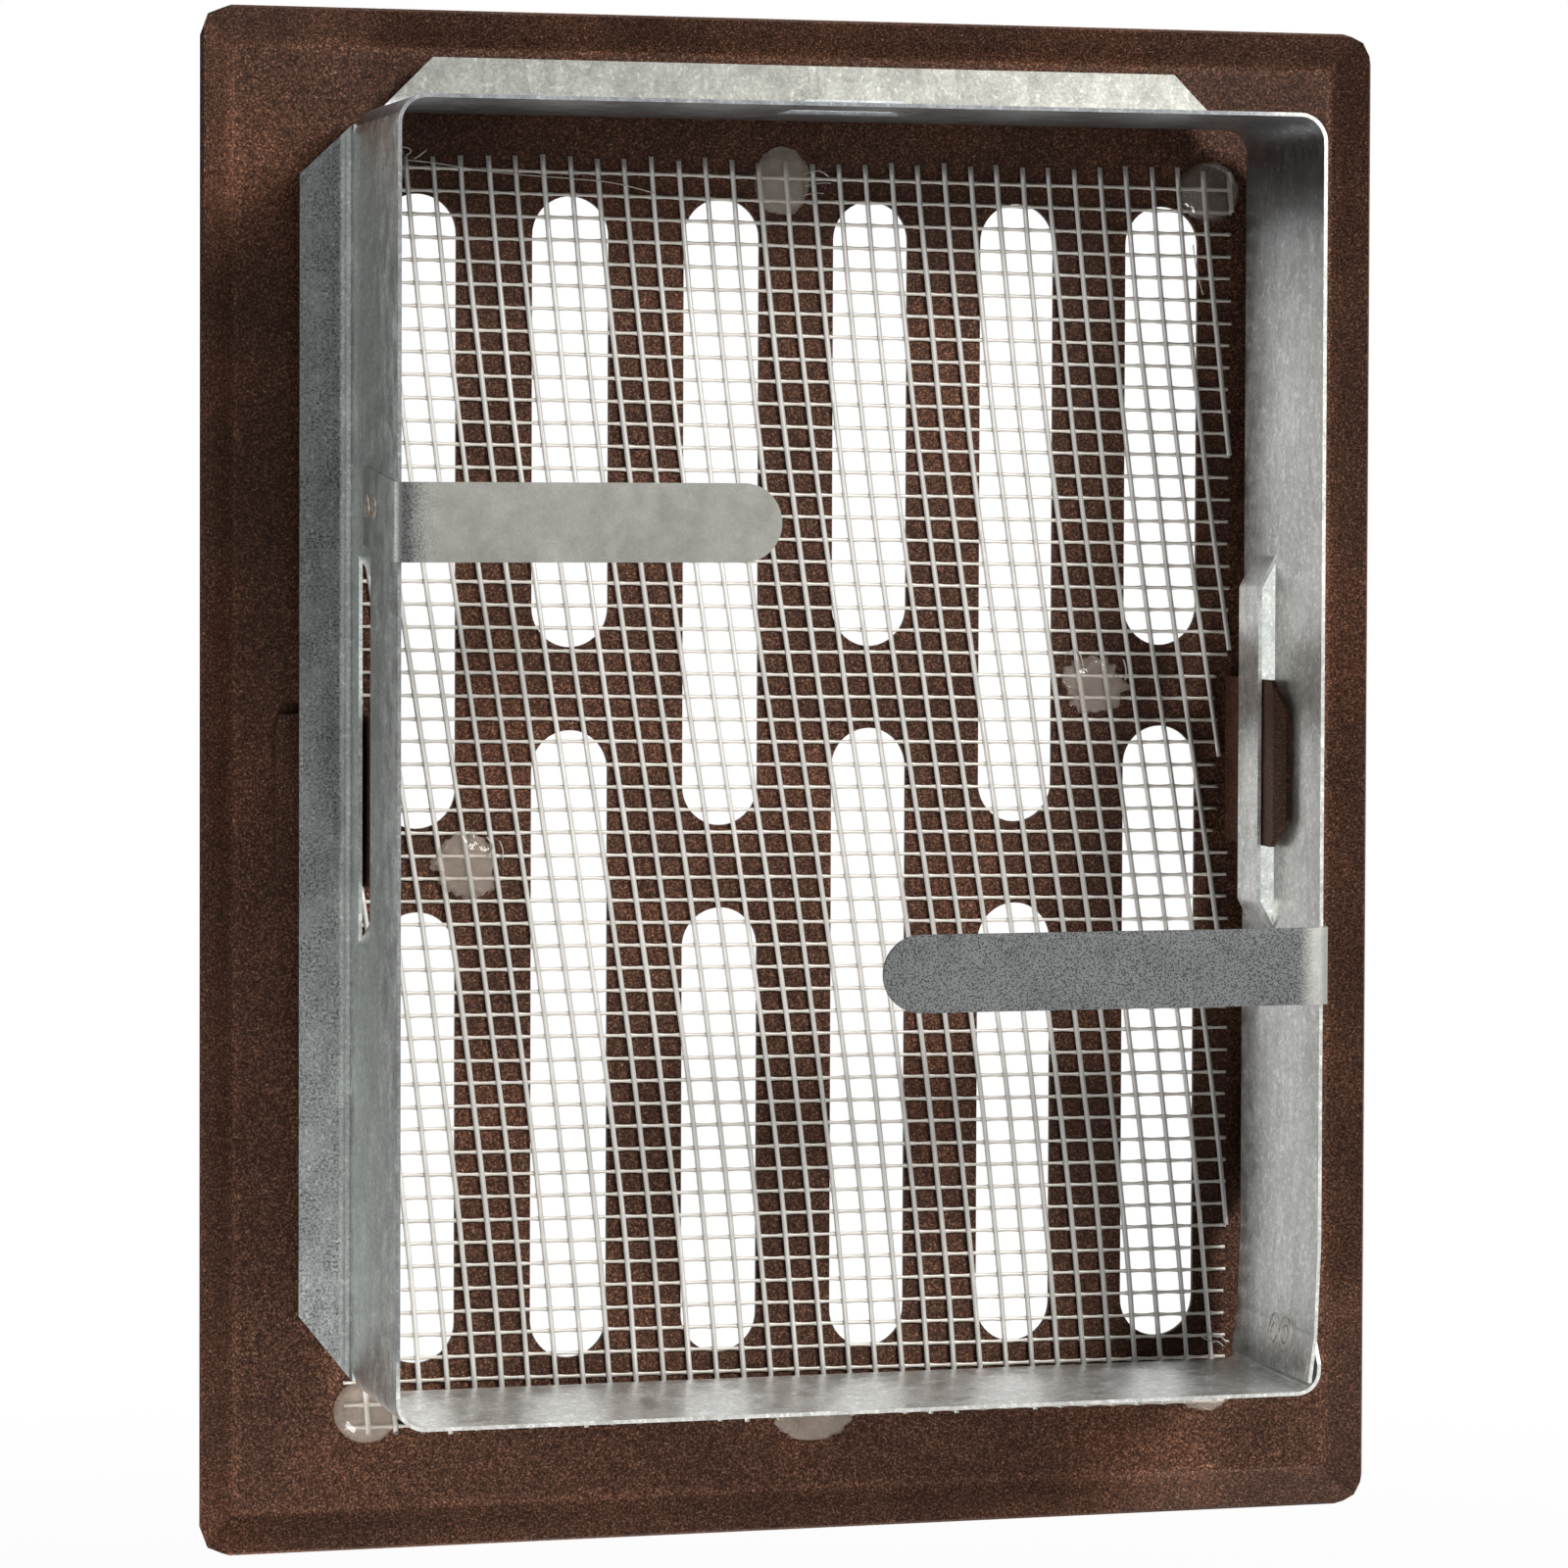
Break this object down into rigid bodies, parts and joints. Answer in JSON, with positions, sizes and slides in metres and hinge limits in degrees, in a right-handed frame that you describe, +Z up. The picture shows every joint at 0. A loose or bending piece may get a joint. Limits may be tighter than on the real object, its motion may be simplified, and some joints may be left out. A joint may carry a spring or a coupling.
{
  "type": "vent grille",
  "caption": "Slotted vent plate with spring clips and a glued insect net, plugged onto a folded mounting frame whose straps bend out inside the duct.",
  "frame": {"origin": "centre of the mounting frame's sleeve, in the plane of the wall's face (the back of its flanges)", "axes": "+X to the right seen from the room, +Y into the duct, +Z up"},
  "size_m": [0.1762, 0.0393, 0.22],
  "materials": {
    "brown_paint": "fine textured powder coat",
    "galvanised": "zinc spangle, satin",
    "glass_fibre": "woven and coated",
    "hot_glue": "milky translucent"
  },
  "bodies": {
    "mounting_frame": {"mounting_frame": "galvanised", "anchor_strap_left": "galvanised", "anchor_strap_right": "galvanised"},
    "grille": {"face_plate": "brown_paint", "clip_left": "brown_paint", "clip_right": "brown_paint", "insect_net": "glass_fibre", "glue_dot_1": "hot_glue", "glue_dot_2": "hot_glue", "glue_dot_3": "hot_glue", "glue_dot_4": "hot_glue", "glue_dot_5": "hot_glue", "glue_dot_6": "hot_glue", "glue_dot_7": "hot_glue", "glue_dot_8": "hot_glue"}
  },
  "joints": [
    {"name": "grille_pull", "type": "slide", "parent": "mounting_frame", "child": "grille", "axis": [0, -1, 0], "range_m": [0, 0.03]}
  ]
}
